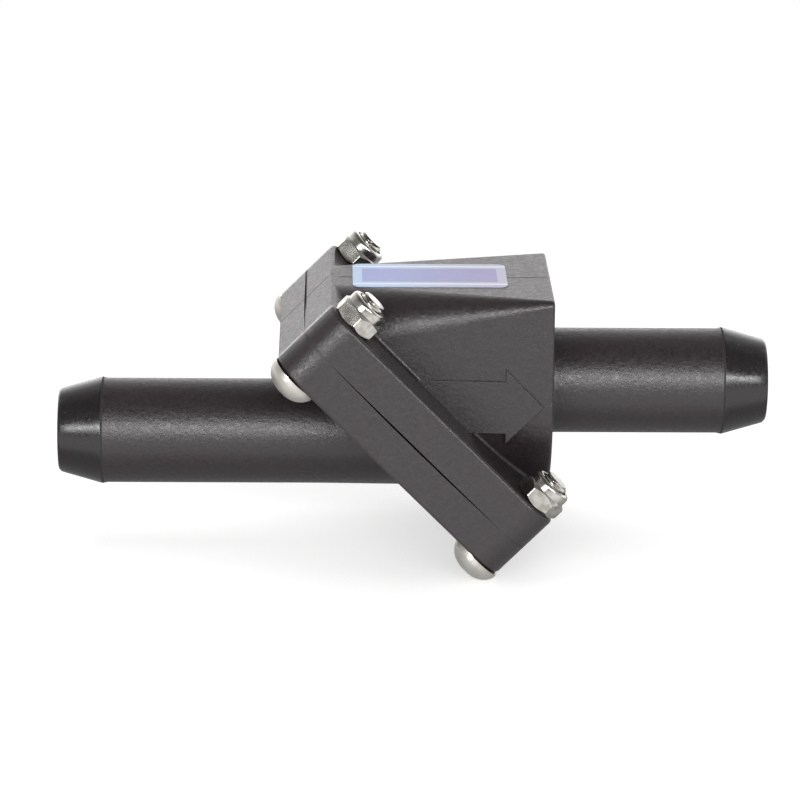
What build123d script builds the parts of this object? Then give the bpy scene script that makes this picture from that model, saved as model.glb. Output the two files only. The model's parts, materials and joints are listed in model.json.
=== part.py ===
# Inline non-return valve for a hose: two moulded halves bolted on a slanted flange
from build123d import *
import os
from math import asin, atan2, cos, radians, sin, tan

os.makedirs("parts", exist_ok=True)

# Hose tails (all sizes in millimetres)
tail_radius = 9.6
ridge_height = 0.2
ridge_width = 0.9
tip_radius = 7.7
tip_length = 8.0
tip_rounding = 0.5
bore_radius = 6.5
inlet_reach = 60.0
outlet_reach = 39.7
tail_root = 2.4
tail_draft = 0.6
tail_foot = 0.8
port_radius = 6.8
port_lead = 4.0

# Split flange, tilted between the two tails
flange_tilt = 45.0
flange_side = 56.0
plate_thickness = 7.0
flange_corner = 5.7
plate_softening = 0.7
bolt_inset = 4.7
bolt_clearance = 0.2
seam_depth = 0.35
seam_land = 3.0

# Outlet chamber, wide at its end face and pinched where it meets the flange
chamber_margin = 9.0
chamber_pinch = 2.8
chamber_wall = 2.3
chamber_drop = 0.3
end_shoulder = 1.0
flange_shoulder = 10.0
inner_shoulder = 0.8
end_face_rounding = 0.5
end_tail_foot = 0.9
chamber_foot = 0.6
plane_match = 0.01

# Window in the outlet plate, which the flap swings through
window_length = 33.0
window_width = 29.0
window_corner = 6.0
window_shift = 3.5

# Flow arrow, raised on the near side of the chamber
arrow_shaft_height = 9.7
arrow_shaft_drop = 0.2
arrow_head_height = 13.9
arrow_head_length = 6.9
arrow_end_gap = 1.7
arrow_proud = 0.35
arrow_depth = 5.0
arrow_softening = 0.15

# Raised oval seat round the inlet port
seat_height = 0.5
seat_width = 1.4
seat_gap = 0.15

# Rubber moulding: a rim clamped in the flange, a thin hinge and the flap
rubber_thickness = 2.4
rim_upper_margin = 9.0
rim_lower_margin = 3.0
rim_side_margin = 7.0
rim_corner = 8.0
rim_clearance = 0.2
flap_radius = 11.5
flap_slit = 1.5
neck_width = 13.0
hinge_along = -7.5
hinge_length = 3.0
hinge_thickness = 0.9

# Weights that stiffen the flap, and the rivet through them
weight_radius = 9.0
weight_thickness = 2.5
weight_chamfer = 0.5
backing_radius = 4.8
backing_thickness = 1.2
backing_softening = 0.4
rivet_radius = 2.0
rivet_head_radius = 3.4
rivet_head_height = 1.4
rivet_clearance = 0.05

# Bolts: pan-head screws and lock nuts
screw_radius = 2.5
screw_length = 20.0
screw_point = 0.5
head_radius = 4.75
head_height = 3.5
head_band = 0.9
head_flat_radius = 1.6
head_dome_radius = 3.7
head_dome_height = 2.5
recess_width = 4.6
recess_slot = 1.1
recess_depth = 2.2
recess_taper = 8.0
nut_flats = 8.0
nut_hex_height = 3.3
nut_height = 5.0
nut_corner_rounding = 0.5
nut_chamfer_angle = 42.0
nut_face_radius = 3.75
crown_radius = 3.75
crown_rounding = 0.7
crown_lip = 0.35
insert_radius = 3.2
insert_mouth = 2.85
thread_gap = 0.04
nut_turns = {"upper_near": 28.0, "upper_far": 29.0, "lower_near": 51.0, "lower_far": 19.0}

# Label on the flat top of the chamber
label_start_gap = 3.6
label_end_gap = 8.0
label_width = 17.0
label_thickness = 0.15
label_corner = 1.5

# Places that follow from the sizes above
slope_cos = cos(radians(flange_tilt))
slope_sin = sin(radians(flange_tilt))
half_side = flange_side / 2
chamber_half_width = half_side - chamber_margin
joint_x = inlet_reach + plate_thickness * slope_sin
joint_z = plate_thickness * slope_cos
outlet_z = 2 * joint_z
nut_face_x = inlet_reach + 2 * plate_thickness * slope_sin
chamber_start = nut_face_x - half_side * slope_cos
chamber_end = nut_face_x + half_side * slope_cos
chamber_top = outlet_z + half_side * slope_sin - chamber_drop
outlet_tip_x = chamber_end + outlet_reach
bolt_offset = half_side - bolt_inset
bolt_hole_radius = screw_radius + bolt_clearance
seat_along = plate_thickness * slope_cos / slope_sin
port_half_length = port_radius / slope_sin
flap_lift = seat_height + seat_gap
rim_length = flange_side - rim_upper_margin - rim_lower_margin
rim_width = flange_side - 2 * rim_side_margin
rim_shift = (rim_upper_margin - rim_lower_margin) / 2
beyond = 3 * flange_side

joint_plane = Plane(
    origin=(joint_x, 0, joint_z),
    x_dir=(slope_cos, 0, -slope_sin),
    z_dir=(slope_sin, 0, slope_cos),
)


# A plane parallel to the flange: lifted towards the outlet, and moved down the slope and across
def flange_at(lift, along=0.0, across=0.0):
    origin = joint_plane.from_local_coords((along, across, lift))
    return Plane(origin=origin, x_dir=joint_plane.x_dir, z_dir=joint_plane.z_dir)


# Everything on the outlet side of a lifted flange plane
def outlet_side(lift):
    return flange_at(lift) * Box(beyond, beyond, beyond, align=(Align.CENTER, Align.CENTER, Align.MIN))


# Everything on the inlet side of a lifted flange plane
def inlet_side(lift):
    return flange_at(lift) * Box(beyond, beyond, beyond, align=(Align.CENTER, Align.CENTER, Align.MAX))


# Solid hose tail along X, with its tip at X = 0: taper, ridge, plain land and a thickening root
def hose_tail(land_end, length):
    ridge_start = tip_length - ridge_width / 2
    ridge_end = tip_length + ridge_width
    profile = Polyline(
        (0, 0),
        (0, tip_radius - tip_rounding),
        (tip_rounding, tip_radius),
        (ridge_start, tail_radius + ridge_height / 2),
        (tip_length, tail_radius + ridge_height),
        (ridge_end, tail_radius),
        (land_end, tail_radius),
        (length, tail_radius + (length - land_end) * tan(radians(tail_draft))),
        (length, 0),
        (0, 0),
    )
    return revolve(make_face(Plane.XZ * profile), Axis.X)


# Cylinder along X, from one X to another
def bar_along_x(radius, start_x, end_x, axis_z):
    bar = Cylinder(radius, end_x - start_x, align=(Align.CENTER, Align.CENTER, Align.MIN))
    return Plane(origin=(start_x, 0, axis_z), x_dir=(0, 1, 0), z_dir=(1, 0, 0)) * bar


# The four bolt places, as offsets down the slope and across
def bolt_places():
    places = {}
    for end, along in (("upper", -bolt_offset), ("lower", bolt_offset)):
        for side, across in (("near", -bolt_offset), ("far", bolt_offset)):
            places[f"{end}_{side}"] = (along, across)
    return places


# One square plate with rounded corners and softened outer edges
def square_plate(lift, outer_lift):
    outline = RectangleRounded(flange_side, flange_side, flange_corner)
    plate = flange_at(lift) * extrude(outline, plate_thickness)
    outer_face = plate.faces().sort_by_distance(flange_at(outer_lift).origin)[0]
    return fillet(outer_face.edges(), plate_softening)


def bolt_holes():
    holes = Part()
    for along, across in bolt_places().values():
        hole = Cylinder(bolt_hole_radius, beyond)
        holes += flange_at(0, along, across) * hole
    return holes


# Shallow arched gaps along the edges of the joint face, deepest at mid side
def seam_reliefs():
    chord = 2 * (bolt_offset - head_radius / 2)
    reliefs = Part()
    for turn in (0, 90, 180, 270):
        arch = ThreePointArc((-chord / 2, 0), (0, -seam_depth), (chord / 2, 0))
        face = make_face(Plane.XZ * (arch + Line((chord / 2, 0), (-chord / 2, 0))))
        relief = extrude(face, amount=seam_land, both=True)
        edge_middle = Pos(0, half_side, 0) * relief
        reliefs += joint_plane * (Rot(0, 0, turn) * edge_middle)
    return reliefs


# Oval lip that the flap closes against, before the port is cut through it
def port_seat():
    outline = Ellipse(port_half_length + seat_width, port_radius + seat_width)
    return flange_at(0, seat_along) * extrude(outline, seat_height)


def inlet_body():
    land_end = inlet_reach - tail_radius * slope_cos / slope_sin - tail_root
    tail = hose_tail(land_end, inlet_reach + flange_side) & inlet_side(-plate_thickness / 2)
    body = square_plate(-plate_thickness, -plate_thickness) + tail
    foot_edges = body.edges().filter_by(GeomType.ELLIPSE)
    body = fillet(foot_edges, tail_foot) + port_seat()
    body -= bar_along_x(bore_radius, -flange_side, inlet_reach, 0)
    body -= bar_along_x(port_radius, inlet_reach - port_lead, inlet_reach + flange_side, 0)
    body -= bolt_holes()
    return body - seam_reliefs()


# Cross-section of the chamber at a given X: flat top, rounded shoulders and a half-round belly
def chamber_section(section_x, inset):
    share = (chamber_end - section_x) / (chamber_end - chamber_start)
    half = chamber_half_width - chamber_pinch * share - inset
    shoulder = max(end_shoulder + (flange_shoulder - end_shoulder) * share - inset, inner_shoulder)
    height = chamber_top - outlet_z - inset
    belly = Circle(half) & (Pos(0, -half / 2) * Rectangle(2 * half, half))
    outline = Pos(0, height / 2) * Rectangle(2 * half, height) + belly
    shoulders = outline.vertices().group_by(Axis.Y)[-1]
    plane = Plane(origin=(section_x, 0, outlet_z), x_dir=(0, 1, 0), z_dir=(1, 0, 0))
    return plane * fillet(shoulders, shoulder)


# Outer skin of the chamber, above the plate that it stands on
def chamber_shell():
    shell = loft([chamber_section(chamber_start, 0), chamber_section(chamber_end, 0)], ruled=True)
    end_edges = shell.faces().sort_by(Axis.X)[-1].edges()
    shell = fillet(end_edges, end_face_rounding)
    return shell & outlet_side(plate_thickness / 2)


# The skin and its plate as one piece, with a small fillet where they meet
def chamber_on_plate():
    shell = chamber_shell()
    plate = square_plate(0, plate_thickness)
    body = shell + plate
    rise = Axis(flange_at(plate_thickness).origin, joint_plane.z_dir)
    foot_edges = new_edges(shell, plate, combined=body)
    foot_edges = foot_edges.filter_by_position(rise, -plane_match, plane_match)
    return fillet(foot_edges, chamber_foot)


# Room inside the chamber: a straight-drawn pocket, kept one wall inside the skin
def chamber_room():
    window = RectangleRounded(window_length, window_width, window_corner)
    pocket = flange_at(0, window_shift) * extrude(window, beyond)
    first = chamber_section(chamber_start, chamber_wall)
    last = chamber_section(chamber_end - chamber_wall, chamber_wall)
    inner = loft([first, last], ruled=True)
    upper_room = pocket & inner & outlet_side(plate_thickness / 2)
    return upper_room + (pocket & inlet_side(plate_thickness))


# Raised arrow that shows the flow direction, flat-faced while the belly curves away below it
def flow_arrow():
    tip_x = -arrow_end_gap
    head_x = tip_x - arrow_head_length
    tail_x = nut_face_x - plate_thickness - chamber_end
    shaft_top = arrow_shaft_height / 2 - arrow_shaft_drop
    shaft_foot = shaft_top - arrow_shaft_height
    head = arrow_head_height / 2
    outline = Polyline(
        (tail_x, shaft_foot),
        (head_x, shaft_foot),
        (head_x, -head),
        (tip_x, 0),
        (head_x, head),
        (head_x, shaft_top),
        (tail_x, shaft_top),
        (tail_x, shaft_foot),
    )
    pinch_angle = atan2(chamber_pinch, chamber_end - chamber_start)
    corner = Vector(chamber_end, -(chamber_half_width + arrow_proud), outlet_z)
    along_side = Vector(cos(pinch_angle), -sin(pinch_angle), 0)
    plane = Plane(origin=corner, x_dir=along_side, z_dir=(-sin(pinch_angle), -cos(pinch_angle), 0))
    arrow = extrude(make_face(plane * outline), -arrow_depth)
    front = arrow.faces().sort_by(Axis.Y)[0]
    return fillet(front.edges(), arrow_softening) & outlet_side(plate_thickness / 2)


def rim_recess():
    length = rim_length + 2 * rim_clearance
    width = rim_width + 2 * rim_clearance
    recess = RectangleRounded(length, width, rim_corner)
    return flange_at(0, rim_shift) * extrude(recess, rubber_thickness)


def outlet_body():
    tail = hose_tail(outlet_reach - tail_root, outlet_reach + chamber_wall / 2)
    tail = Pos(outlet_tip_x, 0, outlet_z) * Rot(0, 0, 180) * tail
    body = chamber_on_plate() + tail
    foot_point = (chamber_end, tail_radius, outlet_z)
    body = fillet(body.edges().sort_by_distance(foot_point)[0], end_tail_foot)
    body += flow_arrow()
    body -= chamber_room()
    bore_start = chamber_end - 2 * chamber_wall
    body -= bar_along_x(bore_radius, bore_start, outlet_tip_x + flange_side, outlet_z)
    body -= rim_recess()
    return body - bolt_holes()


# The opening in the rubber rim that leaves a slit round the flap and its neck
def rim_opening():
    neck_reach = seat_along - hinge_along + hinge_length / 2
    round_part = Pos(seat_along, 0) * Circle(flap_radius + flap_slit)
    neck_middle = seat_along - neck_reach / 2
    neck_part = Pos(neck_middle, 0) * Rectangle(neck_reach, neck_width + 2 * flap_slit)
    return round_part + neck_part


def flap_rim():
    outline = Pos(rim_shift, 0) * RectangleRounded(rim_length, rim_width, rim_corner - rim_clearance)
    return joint_plane * extrude(outline - rim_opening(), rubber_thickness)


# Thin flexing strip between the rim and the flap's neck
def flap_hinge():
    strip = Pos(hinge_along, 0) * Rectangle(hinge_length, neck_width)
    low = (rubber_thickness + flap_lift - hinge_thickness) / 2
    return flange_at(low) * extrude(strip, hinge_thickness)


def flap_disc():
    neck_start = hinge_along + hinge_length / 2
    neck_reach = seat_along - neck_start
    neck = Pos(neck_start + neck_reach / 2, 0) * Rectangle(neck_reach, neck_width)
    outline = Pos(seat_along, 0) * Circle(flap_radius) + neck
    disc = flange_at(flap_lift) * extrude(outline, rubber_thickness - flap_lift)
    return disc - rivet_hole()


def rivet_hole():
    return flange_at(0, seat_along) * Cylinder(rivet_radius + rivet_clearance, beyond)


# Heavy disc on the outlet side, which pulls the flap shut
def flap_weight():
    disc = Cylinder(weight_radius, weight_thickness, align=(Align.CENTER, Align.CENTER, Align.MIN))
    disc = chamfer(disc.faces().sort_by(Axis.Z)[-1].edges(), weight_chamfer)
    return flange_at(rubber_thickness, seat_along) * disc - rivet_hole()


# Small disc on the inlet side, inside the bore
def flap_backing():
    disc = Cylinder(backing_radius, backing_thickness, align=(Align.CENTER, Align.CENTER, Align.MAX))
    disc = fillet(disc.faces().sort_by(Axis.Z)[0].edges(), backing_softening)
    return flange_at(flap_lift, seat_along) * disc - rivet_hole()


# Low dome on a flat base at Z = 0
def domed_head(base_radius, height):
    dome_radius = (base_radius**2 + height**2) / (2 * height)
    half_angle = asin(base_radius / dome_radius) / 2
    shoulder = (dome_radius * sin(half_angle), height - dome_radius * (1 - cos(half_angle)))
    arc = ThreePointArc((base_radius, 0), shoulder, (0, height))
    outline = Polyline((0, height), (0, 0), (base_radius, 0)) + arc
    return revolve(make_face(Plane.XZ * outline), Axis.Z)


# Rivet with a low domed head at each end
def flap_rivet():
    low = flap_lift - backing_thickness
    high = rubber_thickness + weight_thickness
    standing = (Align.CENTER, Align.CENTER, Align.MIN)
    shank = Pos(0, 0, low) * Cylinder(rivet_radius, high - low, align=standing)
    upper_head = Pos(0, 0, high) * domed_head(rivet_head_radius, rivet_head_height)
    lower_head = Pos(0, 0, low) * Rot(180, 0, 0) * domed_head(rivet_head_radius, rivet_head_height)
    return flange_at(0, seat_along) * (shank + upper_head + lower_head)


# Cross-shaped driver recess, tapering inwards
def driver_recess():
    wings = Rectangle(recess_width, recess_slot) + Rectangle(recess_slot, recess_width)
    return extrude(wings, recess_depth, taper=recess_taper)


# Pan-head screw, drawn with its head below the flange and its shank pointing along +Z
def screw():
    profile = Polyline((0, -head_height), (head_flat_radius, -head_height))
    dome = ThreePointArc(
        (head_flat_radius, -head_height),
        (head_dome_radius, -head_dome_height),
        (head_radius, -head_band),
    )
    side = Polyline(
        (head_radius, -head_band),
        (head_radius, 0),
        (screw_radius, 0),
        (screw_radius, screw_length - screw_point),
        (screw_radius - screw_point, screw_length),
        (0, screw_length),
        (0, -head_height),
    )
    body = revolve(make_face(Plane.XZ * (profile + dome + side)), Axis.Z)
    return body - Pos(0, 0, -head_height) * driver_recess()


# Steel body of the lock nut: chamfered hexagon with a round crown that holds the insert
def nut_body():
    corner_radius = nut_flats / 2 / cos(radians(30))
    hexagon = extrude(RegularPolygon(corner_radius, 6), nut_hex_height)
    hexagon = fillet(hexagon.edges().filter_by(Axis.Z), nut_corner_rounding)
    fall = (corner_radius - nut_face_radius) * tan(radians(nut_chamfer_angle))
    envelope = Polyline(
        (0, 0),
        (nut_face_radius, 0),
        (corner_radius, fall),
        (corner_radius, nut_hex_height - fall),
        (nut_face_radius, nut_hex_height),
        (0, nut_hex_height),
        (0, 0),
    )
    hexagon &= revolve(make_face(Plane.XZ * envelope), Axis.Z)
    standing = (Align.CENTER, Align.CENTER, Align.MIN)
    crown = Cylinder(crown_radius, nut_height, align=standing)
    crown = fillet(crown.faces().sort_by(Axis.Z)[-1].edges(), crown_rounding)
    insert_height = nut_height - nut_hex_height - crown_lip
    seat = Pos(0, 0, nut_hex_height) * Cylinder(insert_radius, insert_height, align=standing)
    mouth = Pos(0, 0, nut_hex_height) * Cylinder(insert_mouth, nut_height, align=standing)
    thread = Cylinder(screw_radius + thread_gap, beyond)
    return hexagon + crown - seat - mouth - thread


# Plastic ring inside the crown that grips the thread
def nut_insert():
    height = nut_height - nut_hex_height - crown_lip
    ring = Cylinder(insert_radius, height, align=(Align.CENTER, Align.CENTER, Align.MIN))
    return Pos(0, 0, nut_hex_height) * (ring - Cylinder(screw_radius + thread_gap, beyond))


# Thin plain label, stuck on the flat top of the chamber
def flow_label():
    start_x = chamber_start + label_start_gap
    end_x = chamber_end - label_end_gap
    sheet = extrude(RectangleRounded(end_x - start_x, label_width, label_corner), label_thickness)
    return Pos((start_x + end_x) / 2, 0, chamber_top) * sheet


def write(node, shape):
    export_step(shape, f"parts/{node}.step")


write("inlet_body", inlet_body())
write("outlet_body", outlet_body())
write("flap_rim", flap_rim())
write("flap_hinge", flap_hinge())
write("flap_disc", flap_disc())
write("flap_weight", flap_weight())
write("flap_backing", flap_backing())
write("flap_rivet", flap_rivet())
write("flow_label", flow_label())
for place, (along, across) in bolt_places().items():
    head_plane = flange_at(-plate_thickness, along, across)
    nut_plane = flange_at(plate_thickness, along, across)
    turned = Rot(0, 0, nut_turns[place])
    write(f"screw_{place}", head_plane * screw())
    write(f"nut_{place}", nut_plane * (turned * nut_body()))
    write(f"insert_{place}", nut_plane * nut_insert())
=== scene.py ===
import json
from math import cos, pi, radians, sin
import bmesh
import bpy
from mathutils import Matrix, Vector


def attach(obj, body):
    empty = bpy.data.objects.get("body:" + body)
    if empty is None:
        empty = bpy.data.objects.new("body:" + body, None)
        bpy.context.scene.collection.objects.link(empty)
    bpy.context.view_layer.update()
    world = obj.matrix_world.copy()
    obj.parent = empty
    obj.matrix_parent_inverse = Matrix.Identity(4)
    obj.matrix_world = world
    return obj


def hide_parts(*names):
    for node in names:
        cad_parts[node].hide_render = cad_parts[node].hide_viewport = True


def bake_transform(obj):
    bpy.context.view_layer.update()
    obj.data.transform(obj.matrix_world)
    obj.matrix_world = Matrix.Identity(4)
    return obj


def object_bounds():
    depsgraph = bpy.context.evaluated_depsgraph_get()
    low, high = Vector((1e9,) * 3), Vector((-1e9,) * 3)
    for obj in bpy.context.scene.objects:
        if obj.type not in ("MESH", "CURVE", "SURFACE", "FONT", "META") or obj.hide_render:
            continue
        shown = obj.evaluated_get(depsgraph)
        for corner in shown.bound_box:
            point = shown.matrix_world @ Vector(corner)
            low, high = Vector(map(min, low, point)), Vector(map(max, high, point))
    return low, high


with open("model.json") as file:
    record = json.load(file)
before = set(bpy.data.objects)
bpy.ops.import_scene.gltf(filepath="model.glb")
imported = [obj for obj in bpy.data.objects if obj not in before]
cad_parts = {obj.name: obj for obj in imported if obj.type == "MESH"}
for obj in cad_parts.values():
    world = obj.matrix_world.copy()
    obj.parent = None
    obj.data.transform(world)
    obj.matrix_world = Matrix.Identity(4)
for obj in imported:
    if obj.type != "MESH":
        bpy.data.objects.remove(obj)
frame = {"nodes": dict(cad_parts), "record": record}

mm = 0.001
scene = bpy.context.scene
scene.view_settings.view_transform = "Standard"
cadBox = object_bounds()
print("frame loaded,", len(frame["nodes"]), "nodes")

# the slanted flange, which most pieces are placed by
flange = {
    "tilt": 45,  # degrees
    "middle": (64.95, 0, 4.95),  # of the joint face, in mm
    "bolt": 23.3 * mm,  # bolt centres, along and across
}
downSlope = Vector((cos(radians(flange["tilt"])), 0, -sin(radians(flange["tilt"]))))
towardsOutlet = Vector((sin(radians(flange["tilt"])), 0, cos(radians(flange["tilt"]))))
boltPlaces = {
    "upper_near": (-1, -1),
    "upper_far": (-1, 1),
    "lower_near": (1, -1),
    "lower_far": (1, 1),
}


def flangeMatrix(along=0.0, across=0.0, lift=0.0):
    # local X down the slope, local Y across, local Z towards the outlet
    turn = Matrix((downSlope, Vector((0, 1, 0)), towardsOutlet)).transposed().to_4x4()
    middle = Vector(flange["middle"]) * mm
    return Matrix.Translation(middle) @ turn @ Matrix.Translation((along, across, lift))


class Wire:
    # one value, colour or vector on its way through the nodes
    def __init__(self, finish, socket):
        self.finish = finish
        self.socket = socket

    def calc(self, operation, *others):
        sockets = dict(enumerate((self,) + others))
        return self.finish.node("ShaderNodeMath", {"operation": operation}, sockets)

    def __add__(self, other):
        return self.calc("ADD", other)

    __radd__ = __add__

    def __mul__(self, other):
        return self.calc("MULTIPLY", other)

    __rmul__ = __mul__

    def __sub__(self, other):
        return self.calc("SUBTRACT", other)

    def __rsub__(self, other):
        return (self * -1).calc("ADD", other)

    def __pow__(self, other):
        return self.calc("POWER", other)

    def size(self):
        return self.calc("ABSOLUTE")

    def atLeast(self, other):
        return self.calc("MAXIMUM", other)

    def ease(self, low, high):
        # 0 at low, 1 at high, smooth between
        return self.finish.node(
            "ShaderNodeMapRange",
            {"interpolation_type": "SMOOTHSTEP"},
            {"Value": self, "From Min": low, "From Max": high},
        )

    def line(self, centre, width):
        # 1 on a thin line, 0 away from it
        core = width * 0.35
        return 1 - (self - centre).size().ease(core, width)


class Finish:
    # the nodes of one material, or of the world
    def __init__(self, name, tree=None):
        if tree is None:
            self.material = bpy.data.materials.new(name)
            self.material.use_nodes = True
            tree = self.material.node_tree
        self.tree = tree
        tree.nodes.clear()

    def node(self, kind, settings=None, sockets=None, out=0):
        node = self.tree.nodes.new(kind)
        for key, value in (settings or {}).items():
            setattr(node, key, value)
        for key, value in (sockets or {}).items():
            if isinstance(value, Wire):
                self.tree.links.new(value.socket, node.inputs[key])
            elif isinstance(value, tuple) and len(value) == 3 and node.inputs[key].type == "RGBA":
                node.inputs[key].default_value = (*value, 1)
            else:
                node.inputs[key].default_value = value
        return Wire(self, node.outputs[out])

    def others(self, wire, *names):
        # more outputs of the node that a wire comes from
        return [Wire(self, wire.socket.node.outputs[name]) for name in names]

    def place(self):
        # the point on the piece, in millimetres
        spot = self.node("ShaderNodeTexCoord", out="Object")
        return self.node("ShaderNodeMapping", {}, {"Vector": spot, "Scale": (1000, 1000, 1000)})

    def flangePlace(self, spot):
        # the same point, seen from the middle of the joint face
        turn = (0, radians(flange["tilt"]), 0)
        sockets = {"Vector": spot, "Location": flange["middle"], "Rotation": turn}
        return self.node("ShaderNodeMapping", {"vector_type": "TEXTURE"}, sockets)

    def axes(self, vector):
        split = self.node("ShaderNodeSeparateXYZ", {}, {"Vector": vector})
        return self.others(split, "X", "Y", "Z")

    def noise(self, vector, scale, detail=2.0, roughness=0.5, stretch=None):
        if stretch:
            vector = self.node("ShaderNodeMapping", {}, {"Vector": vector, "Scale": stretch})
        sockets = {"Vector": vector, "Scale": scale, "Detail": detail, "Roughness": roughness}
        return self.node("ShaderNodeTexNoise", {}, sockets)

    def mixColour(self, share, first, second):
        return self.node("ShaderNodeMix", {"data_type": "RGBA"}, {0: share, 6: first, 7: second}, out=2)

    def bump(self, height, strength, distance):
        sockets = {"Height": height, "Strength": strength, "Distance": distance * mm}
        return self.node("ShaderNodeBump", {}, sockets)

    def glow(self, strength):
        return self.node("ShaderNodeEmission", {}, {"Color": (1, 1, 1), "Strength": strength})

    def surface(self, sockets):
        return self.close(self.node("ShaderNodeBsdfPrincipled", {}, sockets))

    def close(self, shader, kind="ShaderNodeOutputMaterial"):
        output = self.tree.nodes.new(kind)
        self.tree.links.new(shader.socket, output.inputs["Surface"])
        return getattr(self, "material", None)


# the photograph's viewing angle
cameraSet = {
    "azimuth": radians(1.012),
    "elevation": radians(15.656),
    "roll": radians(0.513),
    "distance": 758.59 * mm,
    "target": Vector((62.531, 0, 5.906)) * mm,
    "lens": 185.82,
    "sensor": 36,
    "clipStart": 0.05,
}


def makeCamera():
    s = cameraSet
    ahead = Vector((
        sin(s["azimuth"]) * cos(s["elevation"]),
        cos(s["azimuth"]) * cos(s["elevation"]),
        -sin(s["elevation"]),
    ))
    right = Vector((cos(s["azimuth"]), -sin(s["azimuth"]), 0))
    up = right.cross(ahead)
    tiltedRight = right * cos(s["roll"]) + up * sin(s["roll"])
    tiltedUp = up * cos(s["roll"]) - right * sin(s["roll"])
    camera = bpy.data.objects.new("camera", bpy.data.cameras.new("camera"))
    scene.collection.objects.link(camera)
    camera.data.lens = s["lens"]
    camera.data.sensor_width = s["sensor"]
    camera.data.clip_start = s["clipStart"]
    turn = Matrix((tiltedRight, tiltedUp, -ahead)).transposed().to_4x4()
    camera.matrix_world = Matrix.Translation(s["target"] - ahead * s["distance"]) @ turn
    scene.camera = camera


makeCamera()
print("camera set")

# a low wide softbox in front, a soft one overhead, and a room that is white behind
lightSet = {
    "frontElevation": 20,
    "frontDistance": 1.15,
    "frontSize": (2.2, 0.24),
    "frontLevel": 10.5,
    "overheadHeight": 1.0,
    "overheadBack": 0.05,
    "overheadSize": (1.2, 1.2),
    "overheadLevel": 1.0,
    "roomColour": (1.0, 0.994, 0.984),
    "roomDark": 0.10,
    "roomRear": 1.62,
    "rearLow": 1.36,  # at the height of the valve, and less above it
    "rearFall": 1.3,
    "roomSides": 0.36,
}


def makeSoftbox(name, middle, size, level, seenInGloss):
    data = bpy.data.lights.new(name, "AREA")
    data.shape = "RECTANGLE"
    data.size, data.size_y = size
    data.energy = level * pi * size[0] * size[1]  # so that its face has that brightness
    lamp = bpy.data.objects.new(name, data)
    lamp.location = middle
    lamp.rotation_euler = (cameraSet["target"] - middle).to_track_quat("-Z", "Y").to_euler()
    lamp.visible_camera = False
    lamp.visible_glossy = seenInGloss
    scene.collection.objects.link(lamp)


def makeLights():
    s = lightSet
    angle = radians(s["frontElevation"])
    front = cameraSet["target"] + Vector((0, -cos(angle), sin(angle))) * s["frontDistance"]
    makeSoftbox("front_softbox", front, s["frontSize"], s["frontLevel"], True)
    above = cameraSet["target"] + Vector((0, s["overheadBack"], s["overheadHeight"]))
    makeSoftbox("overhead_softbox", above, s["overheadSize"], s["overheadLevel"], False)

    world = bpy.data.worlds.new("room")
    scene.world = world
    world.use_nodes = True
    room = Finish("room", world.node_tree)
    x, y, z = room.axes(room.node("ShaderNodeTexCoord", out="Generated"))
    rear = y.atLeast(0) * (s["rearLow"] - z * s["rearFall"]) * s["roomRear"]
    level = rear + x * x * s["roomSides"] + s["roomDark"]
    camera = room.node("ShaderNodeLightPath", out="Is Camera Ray")
    strength = camera + (1 - camera) * level
    sockets = {"Color": s["roomColour"], "Strength": strength}
    room.close(room.node("ShaderNodeBackground", {}, sockets), "ShaderNodeOutputWorld")


def makeFloor():
    # lit paper near the valve, which fades into plain white
    s = {
        "radius": 2.5,
        "segments": 96,
        "centre": 0.065,  # along X, under the valve's middle
        "gap": 0.05 * mm,  # below the lowest piece
        "pale": 0.70,
        "lift": 0.50,  # added to the lit paper for the camera
        "mirrored": 0.42,  # level of the near floor in glossy pieces
        "fade": (0.11, 0.30),  # distance from the centre
        "inFront": (0.020, 0.042),  # where glossy pieces see white, towards the camera
    }
    bm = bmesh.new()
    bmesh.ops.create_circle(bm, cap_ends=True, radius=s["radius"], segments=s["segments"])
    bmesh.ops.translate(bm, vec=(s["centre"], 0, cadBox[0][2] - s["gap"]), verts=bm.verts)
    mesh = bpy.data.meshes.new("floor")
    bm.to_mesh(mesh)
    bm.free()
    floor = bpy.data.objects.new("floor", mesh)
    scene.collection.objects.link(floor)
    paper = Finish("pale_floor")
    x, y = paper.axes(paper.node("ShaderNodeTexCoord", out="Object"))[:2]
    away = ((x - s["centre"]) ** 2 + y ** 2) ** 0.5
    path = paper.node("ShaderNodeLightPath")
    seen, gloss, through = paper.others(path, "Is Camera Ray", "Is Glossy Ray", "Is Transmission Ray")
    plain = paper.node("ShaderNodeBsdfDiffuse", {}, {"Color": (s["pale"],) * 3})
    lifted = paper.glow(seen * s["lift"])
    near = paper.node("ShaderNodeAddShader", {}, {0: plain, 1: lifted})
    even = paper.glow(s["mirrored"])
    near = paper.node("ShaderNodeMixShader", {}, {0: gloss, 1: near, 2: even})
    white = paper.glow(1.0)
    inFront = (y * -1).ease(*s["inFront"]) * gloss
    far = away.ease(*s["fade"]).atLeast(inFront)
    shown = paper.node("ShaderNodeMixShader", {}, {0: far, 1: near, 2: white})
    wanted = seen.atLeast(gloss).atLeast(through)
    paper.close(paper.node("ShaderNodeMixShader", {}, {0: wanted, 1: plain, 2: shown}))
    mesh.materials.append(paper.material)


makeLights()
makeFloor()
print("light and floor set")


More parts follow.
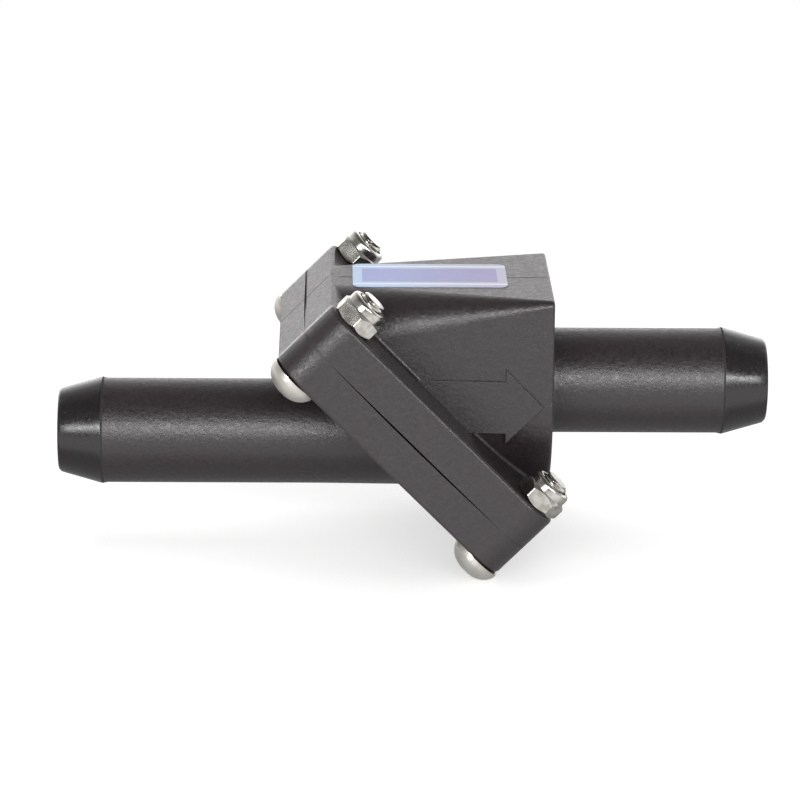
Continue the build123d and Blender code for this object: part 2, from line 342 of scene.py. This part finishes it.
def blackPlastic():
    # satin black moulding: mottled grain, smoother tail tips, parting lines, light scuffs and a painted
    # highlight along the corners of the upper end
    s = {
        "dark": (0.0165, 0.0108, 0.0132),
        "worn": (0.0260, 0.0200, 0.0220),
        "tip": (0.006, 0.004, 0.005),
        # the dust colour also lightens the painted highlight line
        "dustAndHighlight": (0.17, 0.165, 0.16),
        "lineDark": (0.004, 0.004, 0.004),
        "roughness": 0.41,
        "tipRoughness": 0.31,
        "grain": 0.13,  # mm
        "inletTip": (7.8, 8.2),  # mm along X
        "outletTip": (121.2, 121.6),
        "inletRidge": 8.1,
        "outletRidge": 121.3,
        "ridgeWidth": 0.24,
        "upperEdge": (-27.9, -27.7),  # mm down the slope
        "flangeHalf": (7.1, 7.3),  # mm from the joint face
        "pastFlange": (7.2, 7.6),
        "roof": (29.1, 29.3),  # mm up
        "partingWidth": 0.22,
        "inletParting": 1.5,  # mm across
        "outletParting": 1.3,
        "topParting": -1.0,
        "jointWidth": 0.34,
        "jointOpens": (-10, 0),  # mm across, on the upper end
        "jointCloses": (6, 26),
        # mm across the upper end, where the painted highlight line lies
        "highlightAcross": 22.4,
        "highlightWidth": 0.8,
        "scratchWidth": 0.004,
    }
    f = Finish("black_plastic")
    spot = f.place()
    x, y, z = f.axes(spot)
    along, across, lift = f.axes(f.flangePlace(spot))

    tip = (1 - x.ease(*s["inletTip"])).atLeast(x.ease(*s["outletTip"]))
    mottle = f.noise(spot, 0.85, 4, 0.64)
    fine = f.noise(spot, 2.6, 3, 0.6)
    wide = f.noise(spot, 0.13, 3, 0.55)

    upperEnd = (1 - along.ease(*s["upperEdge"])) * (1 - lift.size().ease(*s["flangeHalf"]))
    outletEnd = upperEnd * lift.ease(0.0, 0.4)
    inletEnd = upperEnd * (1 - lift.ease(-0.4, 0.0))
    topFace = z.ease(*s["roof"]) * lift.ease(*s["pastFlange"])
    parting = y.line(s["topParting"], s["partingWidth"]) * topFace
    parting = parting + across.line(s["outletParting"], s["partingWidth"]) * outletEnd
    parting = parting + across.line(s["inletParting"], s["partingWidth"]) * inletEnd
    gap = across.ease(*s["jointOpens"]) * (1 - across.ease(*s["jointCloses"]) * 0.45) * 0.95
    gap = (gap - 0.25) * upperEnd + 0.3  # darkest on the upper end, fainter on the sides
    joint = lift.line(0, s["jointWidth"]) * gap
    ridges = x.line(s["inletRidge"], s["ridgeWidth"]).atLeast(x.line(s["outletRidge"], s["ridgeWidth"]))
    lines = parting.atLeast(joint).atLeast(ridges * 0.8)

    scratchBed = f.noise(spot, 0.7, 2, 0.5, (1.0, 0.6, 1.7))
    scratches = scratchBed.line(0.5, s["scratchWidth"]) * wide.ease(0.54, 0.64) * fine.ease(0.46, 0.58)
    flecks = f.noise(spot, 2.3, 2, 0.5).ease(0.69, 0.78) * wide.ease(0.40, 0.60)
    marks = flecks * 0.45 + scratches * 0.35
    pebbles = f.noise(spot, 1.35, 2, 0.5)
    # painted highlight: a line where the upper end's corners begin to round, lightened with the dust
    # colour and also made glossier
    paintedHighlightLine = across.size().line(s["highlightAcross"], s["highlightWidth"]) * upperEnd * mottle.ease(0.25, 0.50)

    colour = f.mixColour(mottle.ease(0.30, 0.72) * 0.5, s["dark"], s["worn"])
    colour = f.mixColour(tip * 0.85, colour, s["tip"])
    # dust flecks and scratches, and the painted highlight line
    colour = f.mixColour(marks * 0.6 + paintedHighlightLine * 0.6, colour, s["dustAndHighlight"])
    # darker along the parting lines, the joint and the tip ridges
    colour = f.mixColour(lines * 0.85, colour, s["lineDark"])
    rough = mottle * 0.16 + fine * 0.10 + (s["roughness"] - 0.12) + marks * 0.15
    rough = rough - pebbles.ease(0.45, 0.70) * 0.09 - paintedHighlightLine * 0.22
    rough = rough + tip * (s["tipRoughness"] - s["roughness"] - mottle * 0.10) + lines * 0.6
    grain = mottle * 0.44 + pebbles * 0.36 + fine * 0.30
    height = grain * (1 - tip * 0.88) - parting * 2.0 - scratches * 0.10
    return f.surface({
        "Base Color": colour,
        "Roughness": rough,
        "Normal": f.bump(height, 1.0, s["grain"]),
        "IOR": 1.5,
        "Specular IOR Level": 0.8,
    })


def brightSteel():
    # cold-formed stainless: satin screw heads, brighter nuts with faint drawn marks
    s = {
        "shade": (0.44, 0.42, 0.38),
        "bright": (0.65, 0.635, 0.595),
        "head": (0.62, 0.60, 0.555),
        "headTop": (-7.3, -6.9),  # mm from the joint face
        "nutRoughness": 0.20,
        "headRoughness": 0.48,
        "drawn": (1.0, 1.0, 0.18),  # stretched along the bolt
        "relief": 0.05,  # mm
    }
    f = Finish("bright_steel")
    spot = f.place()
    lift = f.axes(f.flangePlace(spot))[2]
    head = 1 - lift.ease(*s["headTop"])
    cloud = f.noise(spot, 0.6, 1, 0.5)
    fine = f.noise(spot, 6.0, 2, 0.5)
    drawn = f.noise(f.flangePlace(spot), 1.6, 1, 0.5, s["drawn"])
    colour = f.mixColour(cloud.ease(0.32, 0.66), s["shade"], s["bright"])
    colour = f.mixColour(head * 0.85, colour, s["head"])
    roughness = head * (s["headRoughness"] - s["nutRoughness"])
    roughness = roughness + cloud * 0.10 + (s["nutRoughness"] - 0.05)
    height = (cloud * 0.32 + drawn * 0.10) * (1 - head * 0.85) + fine * 0.015
    return f.surface({
        "Base Color": colour,
        "Metallic": 1.0,
        "Roughness": roughness,
        "Normal": f.bump(height, 0.5, s["relief"]),
    })


def nylonRing():
    # natural nylon, a little cloudy
    s = {"dark": (0.27, 0.245, 0.19), "pale": (0.42, 0.39, 0.31), "roughness": 0.33, "relief": 0.05}
    f = Finish("nylon_ring")
    spot = f.place()
    cloud = f.noise(spot, 1.6, 3, 0.6)
    fine = f.noise(spot, 7.0, 2, 0.5)
    return f.surface({
        "Base Color": f.mixColour(cloud.ease(0.3, 0.7), s["dark"], s["pale"]),
        "Roughness": cloud * 0.2 + s["roughness"],
        "Normal": f.bump(cloud + fine * 0.3, 0.5, s["relief"]),
        "IOR": 1.53,
    })


def blackRubber():
    # moulded rubber with a grey bloom and a fine pebbled skin
    s = {"dark": (0.021, 0.021, 0.022), "bloom": (0.062, 0.062, 0.060), "roughness": 0.50, "relief": 0.05}
    f = Finish("black_rubber")
    spot = f.place()
    cloud = f.noise(spot, 0.7, 4, 0.65)
    fine = f.noise(spot, 6.0, 2, 0.6)
    return f.surface({
        "Base Color": f.mixColour(cloud.ease(0.50, 0.74) * 0.6, s["dark"], s["bloom"]),
        "Roughness": cloud * 0.2 + s["roughness"],
        "Normal": f.bump(fine + cloud, 0.6, s["relief"]),
        "IOR": 1.5,
    })


def turnedSteel():
    # lathe rings about the flap's own axis
    s = {
        "dark": (0.42, 0.42, 0.41),
        "bright": (0.58, 0.58, 0.57),
        "axisAlong": 7.0,  # mm down the slope
        "ringsPerMm": 2.2,
        "roughness": 0.22,
        "relief": 0.03,  # mm
    }
    f = Finish("turned_steel")
    spot = f.place()
    along, across = f.axes(f.flangePlace(spot))[:2]
    radius = ((along - s["axisAlong"]) ** 2 + across ** 2) ** 0.5
    rings = (radius * (2 * pi * s["ringsPerMm"])).calc("SINE") * 0.5 + 0.5
    cloud = f.noise(spot, 0.9, 3, 0.6)
    return f.surface({
        "Base Color": f.mixColour(cloud.ease(0.35, 0.65), s["dark"], s["bright"]),
        "Metallic": 1.0,
        "Roughness": cloud * 0.18 + rings * 0.06 + s["roughness"],
        "Normal": f.bump(rings * 0.25 + cloud * 0.6, 0.5, s["relief"]),
    })


def labelFilm():
    # plain printed film: pale ground, a panel that turns from blue to violet, two white lines
    s = {
        "pale": (0.42, 0.55, 0.76),
        "paleEnd": (0.41, 0.41, 0.54),
        "blue": (0.25, 0.30, 0.58),
        "violet": (0.25, 0.23, 0.45),
        "white": (0.74, 0.77, 0.82),
        "haze": (0.70, 0.72, 0.76),
        "middle": 67.7,  # mm along
        "turning": (-13, 11),  # mm from the middle
        "panel": (12.2, 4.9),  # half length and half width
        "panelEdge": 0.15,
        "keyline": 6.5,
        "keylineWidth": 0.5,
        "roughness": 0.30,
        "relief": 0.05,
    }
    f = Finish("label_film")
    spot = f.place()
    x, y = f.axes(spot)[:2]
    cloud = f.noise(spot, 0.5, 3, 0.6)
    fine = f.noise(spot, 5.0, 2, 0.6)
    turning = x.ease(s["middle"] + s["turning"][0], s["middle"] + s["turning"][1])
    ground = f.mixColour(turning, s["pale"], s["paleEnd"])
    printed = f.mixColour(turning, s["blue"], s["violet"])
    across = y.size()
    length, width = s["panel"]
    panel = 1 - across.ease(width, width + s["panelEdge"])
    panel = panel * (1 - (x - s["middle"]).size().ease(length, length + s["panelEdge"]))
    colour = f.mixColour(panel, ground, printed)
    colour = f.mixColour(across.line(s["keyline"], s["keylineWidth"]), colour, s["white"])
    colour = f.mixColour(cloud.ease(0.50, 0.80) * 0.12, colour, s["haze"])
    return f.surface({
        "Base Color": colour,
        "Roughness": cloud * 0.18 + fine * 0.06 + s["roughness"],
        "Normal": f.bump(cloud + fine * 0.1, 0.25, s["relief"]),
        "IOR": 1.46,
    })


finishes = {
    "body_plastic": blackPlastic(),
    "fastener_steel": brightSteel(),
    "insert_nylon": nylonRing(),
    "rubber": blackRubber(),
    "weight_steel": turnedSteel(),
    "label_film": labelFilm(),
}
slotOf = {row["node"]: row["material_slot"] for row in frame["record"]["subparts"]}
print("finishes made")


housing = {
    "chamberEnd": 89.698 * mm,
    "rimSoftening": 0.40,  # mm
    "plainEdges": 0.30,  # of that, on all other edges
}
cleaning = {
    "weld": 0.002 * mm,
    "flat": radians(0.6),
    "onJoint": 0.02 * mm,
    "onRim": 0.01 * mm,
    "bevelSegments": 2,
}


def onJoint(edge):
    # the two plates meet flat, so their edges there stay crisp
    lifts = [(v.co - Vector(flange["middle"]) * mm).dot(towardsOutlet) for v in edge.verts]
    return max(abs(lift) for lift in lifts) < cleaning["onJoint"]


def onRim(edge):
    # the rounder edge where the chamber ends, around the outlet tail
    return all(abs(v.co.x - housing["chamberEnd"]) < cleaning["onRim"] for v in edge.verts)


def finishPiece(bm, name, node, body, sharpAngle=32, softening=0.0, plainEdges=1.0):
    # smooth shading broken at sharp edges, then soft edges and even normals
    bm.normal_update()
    softness = bm.edges.layers.float.new("bevel_weight_edge")
    for edge in bm.edges:
        edge.smooth = len(edge.link_faces) == 2 and edge.calc_face_angle(0) < radians(sharpAngle)
        edge[softness] = 0 if edge.smooth or onJoint(edge) else 1 if onRim(edge) else plainEdges
    for face in bm.faces:
        face.smooth = True
    mesh = bpy.data.meshes.new(name)
    bm.to_mesh(mesh)
    bm.free()
    piece = bpy.data.objects.new(name, mesh)
    scene.collection.objects.link(piece)
    mesh.materials.append(finishes[slotOf[node]])
    if softening:
        soft = piece.modifiers.new("soft_edges", "BEVEL")
        soft.width = softening * mm
        soft.segments = cleaning["bevelSegments"]
        soft.limit_method = "WEIGHT"
    even = piece.modifiers.new("even_normals", "WEIGHTED_NORMAL")
    even.keep_sharp = True
    if body:
        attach(piece, body)
    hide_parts(node)
    return piece


def mergedCopy(node):
    # the CAD piece with its triangles joined into flat faces
    bm = bmesh.new()
    bm.from_mesh(frame["nodes"][node].data)
    bmesh.ops.remove_doubles(bm, verts=bm.verts, dist=cleaning["weld"])
    bmesh.ops.dissolve_limit(bm, angle_limit=cleaning["flat"], verts=bm.verts, edges=bm.edges)
    return bm


def makeHousing():
    for half in ("inlet", "outlet"):
        finishPiece(
            mergedCopy(half + "_body"), half + "_moulding", half + "_body", "housing",
            softening=housing["rimSoftening"], plainEdges=housing["plainEdges"],
        )


def cutAt(bm, point, normal):
    everything = list(bm.verts) + list(bm.edges) + list(bm.faces)
    bmesh.ops.bisect_plane(bm, geom=everything, plane_co=point, plane_no=normal, clear_outer=True)


def makeThread():
    # the threaded end of a bolt that stands in the nut's crown, along Z from the joint face
    s = {
        "pitch": 0.8,  # mm, like the rest
        "root": 2.07,
        "start": 9.6,
        "end": 13.0,
        "outline": ((2.07, 0.0), (2.5, 0.30), (2.5, 0.44), (2.07, 0.74), (2.07, 0.80)),
        "weld": 0.005,
        "turns": 6,
        "steps": 40,  # a turn
        "pointSlope": 0.9,
    }
    bm = bmesh.new()
    points = [bm.verts.new((radius * mm, 0, height * mm)) for radius, height in s["outline"]]
    for first, second in zip(points, points[1:]):
        bm.edges.new((first, second))
    bmesh.ops.spin(
        bm, geom=list(bm.verts) + list(bm.edges), cent=(0, 0, 0), axis=(0, 0, 1),
        dvec=(0, 0, s["pitch"] * mm / s["steps"]),
        angle=2 * pi * s["turns"], steps=s["steps"] * s["turns"],
    )
    bmesh.ops.remove_doubles(bm, verts=bm.verts, dist=s["weld"] * mm)
    bmesh.ops.translate(bm, vec=(0, 0, (s["start"] - s["pitch"]) * mm), verts=bm.verts)
    cutAt(bm, (0, 0, s["start"] * mm), (0, 0, -1))
    cutAt(bm, (0, 0, s["end"] * mm), (0, 0, 1))
    top = (s["end"] - 0.01) * mm
    rim = [e for e in bm.edges if e.is_boundary and min(v.co.z for v in e.verts) > top]
    bmesh.ops.edgenet_fill(bm, edges=rim)
    for vert in bm.verts:  # turned down to a blunt point
        reach = vert.co.xy.length
        limit = s["root"] * mm + (s["end"] * mm - vert.co.z) * s["pointSlope"]
        if reach > limit:
            vert.co.xy *= limit / reach
    bmesh.ops.recalc_face_normals(bm, faces=bm.faces)
    mesh = bpy.data.meshes.new("thread")
    bm.to_mesh(mesh)
    bm.free()
    return mesh, s["start"]


def makeFasteners():
    s = {"boltAngle": 38, "nutAngle": 28}  # degrees at which an edge counts as sharp
    thread, start = makeThread()
    for place, (along, across) in boltPlaces.items():
        seat = flangeMatrix(along * flange["bolt"], across * flange["bolt"])
        bm = mergedCopy("screw_" + place)
        cutAt(bm, seat @ Vector((0, 0, start * mm)), towardsOutlet)
        turned = thread.copy()
        turned.transform(seat)
        bm.from_mesh(turned)
        bpy.data.meshes.remove(turned)
        finishPiece(
            bm, "bolt_" + place, "screw_" + place, "housing",
            sharpAngle=s["boltAngle"],
        )
        finishPiece(
            mergedCopy("nut_" + place), "lock_nut_" + place, "nut_" + place, "housing",
            sharpAngle=s["nutAngle"],
        )
        finishPiece(mergedCopy("insert_" + place), "ring_" + place, "insert_" + place, "housing")
    bpy.data.meshes.remove(thread)


def makeFlap():
    s = {
        "flap_rim": ("rubber_rim", "housing", {"softening": 0.25}),
        "flap_disc": ("rubber_flap", "flap", {"softening": 0.25}),
        "flap_weight": ("flap_weight_disc", "flap", {"softening": 0.12}),
        "flap_backing": ("flap_backing_disc", "flap", {}),
        "flap_rivet": ("flap_rivet_turned", "flap", {"sharpAngle": 40}),
    }
    for node, (name, body, edges) in s.items():
        finishPiece(mergedCopy(node), name, node, body, **edges)


def makeHinge():
    # the flat rubber strip between the clamped rim and the flap
    s = {
        "middle": -7.5 * mm,
        "length": 3.0 * mm,
        "overlap": 0.3 * mm,  # into the rim and the flap
        "width": 13.0 * mm,
        "thickness": 0.9 * mm,
        "lift": 1.525 * mm,
        "segments": (14, 6),
    }
    bm = bmesh.new()
    bmesh.ops.create_grid(bm, x_segments=s["segments"][0], y_segments=s["segments"][1], size=0.5)
    bmesh.ops.scale(bm, vec=(s["length"] + s["overlap"], s["width"], 1), verts=bm.verts)
    bmesh.ops.solidify(bm, geom=bm.faces, thickness=s["thickness"])
    middle = sum((v.co for v in bm.verts), Vector()) / len(bm.verts)
    bmesh.ops.translate(bm, vec=-middle, verts=bm.verts)
    bmesh.ops.recalc_face_normals(bm, faces=bm.faces)
    bmesh.ops.transform(bm, matrix=flangeMatrix(s["middle"], 0, s["lift"]), verts=bm.verts)
    piece = finishPiece(bm, "rubber_hinge", "flap_hinge", None)
    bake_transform(piece)


def makeLabel():
    finishPiece(mergedCopy("flow_label"), "label_sheet", "flow_label", "housing")


makeHousing()
print("housing made")
makeFasteners()
print("fasteners made")
makeFlap()
makeHinge()
makeLabel()
print("flap and label made")

for name, node in frame["nodes"].items():
    node.data.materials.clear()
    node.data.materials.append(finishes[slotOf[name]])
